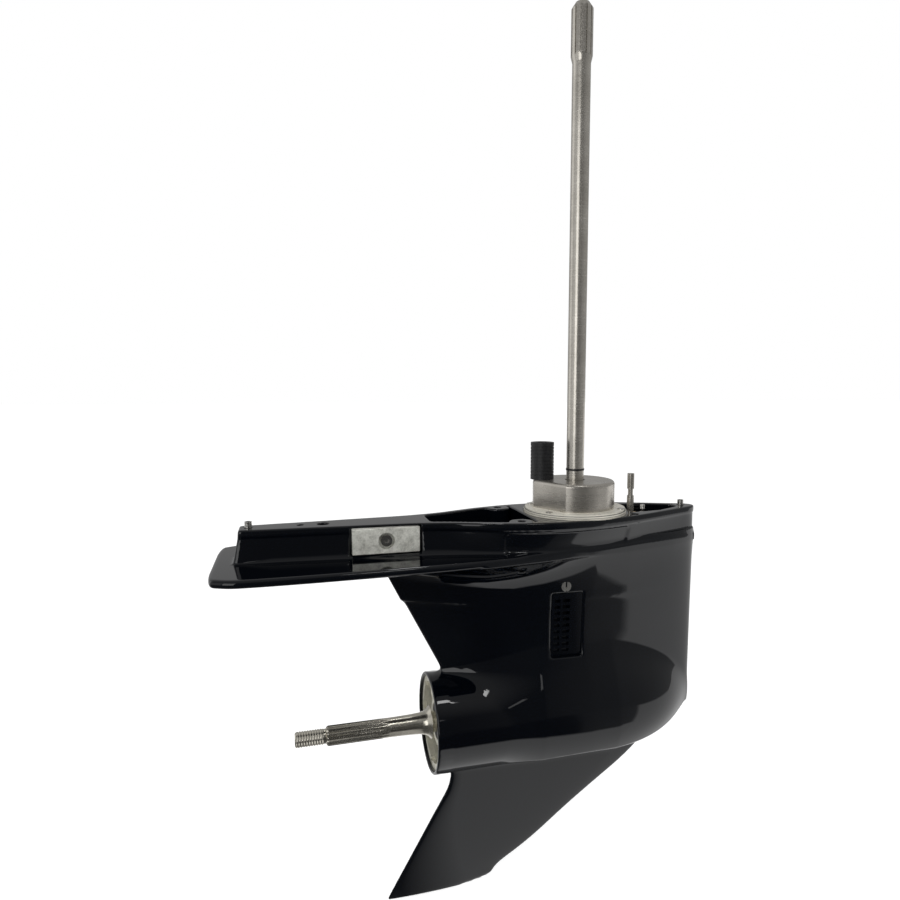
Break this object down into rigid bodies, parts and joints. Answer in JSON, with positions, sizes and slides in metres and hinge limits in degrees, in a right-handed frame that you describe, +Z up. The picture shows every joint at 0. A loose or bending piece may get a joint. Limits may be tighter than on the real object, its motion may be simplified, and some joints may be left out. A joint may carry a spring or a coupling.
{
  "type": "outboard lower unit",
  "caption": "Outboard motor lower unit: gear housing with anti-ventilation plate, strut, torpedo and skeg, water pump, drive shaft and propeller shaft.",
  "frame": {"origin": "where the drive shaft's axis crosses the deck, the flat face that bolts to the engine's leg", "axes": "+X forward (bow) along the propeller shaft, +Y port, +Z up along the drive shaft"},
  "size_m": [0.6055, 0.172, 1.089],
  "materials": {
    "housing_paint": "gloss",
    "bare_aluminium": "satin",
    "carrier_alloy": "satin",
    "pump_stainless": "brushed",
    "pump_base_cream": "matte",
    "shaft_steel": "satin",
    "gear_steel": "ground",
    "bearing_steel": "polished",
    "bushing_bronze": "satin",
    "anode_zinc": "cast",
    "rubber": "matte",
    "gasket_sheet": "matte",
    "dowel_steel": "satin",
    "screen_plastic": "gloss"
  },
  "bodies": {
    "casing": {"anode_bolt": "dowel_steel", "anode_nut": "dowel_steel", "anode_port": "anode_zinc", "anode_starboard": "anode_zinc", "bearing_carrier": "carrier_alloy", "carrier_retaining_nut": "carrier_alloy", "dowel_pins": "dowel_steel", "drive_bearing_cup": "bearing_steel", "drive_bearing_retainer": "bearing_steel", "drive_bearing_rollers": "bearing_steel", "drive_shaft_oil_seals": "rubber", "forward_bearing_cup": "bearing_steel", "forward_bearing_rollers": "bearing_steel", "gear_housing": "housing_paint", "intake_screen_port": "screen_plastic", "intake_screen_starboard": "screen_plastic", "oil_fill_plug": "dowel_steel", "oil_vent_plug": "dowel_steel", "pinion_bearing_rollers": "bearing_steel", "pinion_bearing_shell": "bearing_steel", "plug_washers": "gasket_sheet", "propeller_needle_bearing_shell": "bearing_steel", "propeller_needle_rollers": "bearing_steel", "propeller_shaft_seals": "rubber", "pump_base": "pump_base_cream", "pump_cup": "pump_stainless", "pump_gaskets": "gasket_sheet", "pump_housing": "pump_stainless", "pump_screws": "dowel_steel", "pump_wear_plate": "pump_stainless", "reverse_bearing_balls": "bearing_steel", "reverse_bearing_outer_race": "bearing_steel", "reverse_thrust_washer": "bushing_bronze", "shift_shaft_bushing": "bushing_bronze", "speedometer_hose_fitting": "bare_aluminium", "water_tube_coupling": "rubber"},
    "drive_train": {"drive_shaft": "shaft_steel", "drive_shaft_seal_ring": "rubber", "impeller_key": "gear_steel", "pump_impeller": "rubber", "drive_bearing_cone": "bearing_steel", "pinion_gear": "gear_steel", "pinion_nut": "gear_steel"},
    "forward_gear_set": {"forward_gear": "gear_steel", "forward_bearing_cone": "bearing_steel"},
    "reverse_gear_set": {"reverse_gear": "gear_steel", "reverse_bearing_inner_race": "bearing_steel"},
    "propeller_shaft_body": {"propeller_shaft": "shaft_steel"},
    "clutch": {"clutch_dog": "gear_steel", "clutch_cross_pin": "gear_steel", "clutch_pin_spring": "bearing_steel", "shift_actuator": "gear_steel"},
    "shift": {"shift_shaft": "shaft_steel", "shift_crank": "gear_steel"}
  },
  "joints": [
    {"name": "drive_shaft_spin", "type": "hinge", "parent": "casing", "child": "drive_train", "pos_m": [0, 0, 0.3], "axis": [0, 0, 1], "continuous": true},
    {"name": "forward_gear_spin", "type": "hinge", "parent": "casing", "child": "forward_gear_set", "pos_m": [0.045, 0, -0.257], "axis": [1, 0, 0], "continuous": true},
    {"name": "reverse_gear_spin", "type": "hinge", "parent": "casing", "child": "reverse_gear_set", "pos_m": [-0.045, 0, -0.257], "axis": [1, 0, 0], "continuous": true},
    {"name": "propeller_shaft_spin", "type": "hinge", "parent": "casing", "child": "propeller_shaft_body", "pos_m": [-0.15, 0, -0.257], "axis": [1, 0, 0], "continuous": true},
    {"name": "clutch_slide", "type": "slide", "parent": "propeller_shaft_body", "child": "clutch", "axis": [1, 0, 0], "range_m": [-0.0059, 0.0059]},
    {"name": "shift_shaft_turn", "type": "hinge", "parent": "casing", "child": "shift", "pos_m": [0.079, 0, -0.1], "axis": [0, 0, 1], "range_deg": [-25, 25]}
  ],
  "couplings": [
    {"joint": "forward_gear_spin", "follows": "drive_shaft_spin", "ratio": -0.5},
    {"joint": "reverse_gear_spin", "follows": "drive_shaft_spin", "ratio": 0.5},
    {"joint": "shift_shaft_turn", "follows": "clutch_slide", "rad_per_m": 73.746}
  ]
}
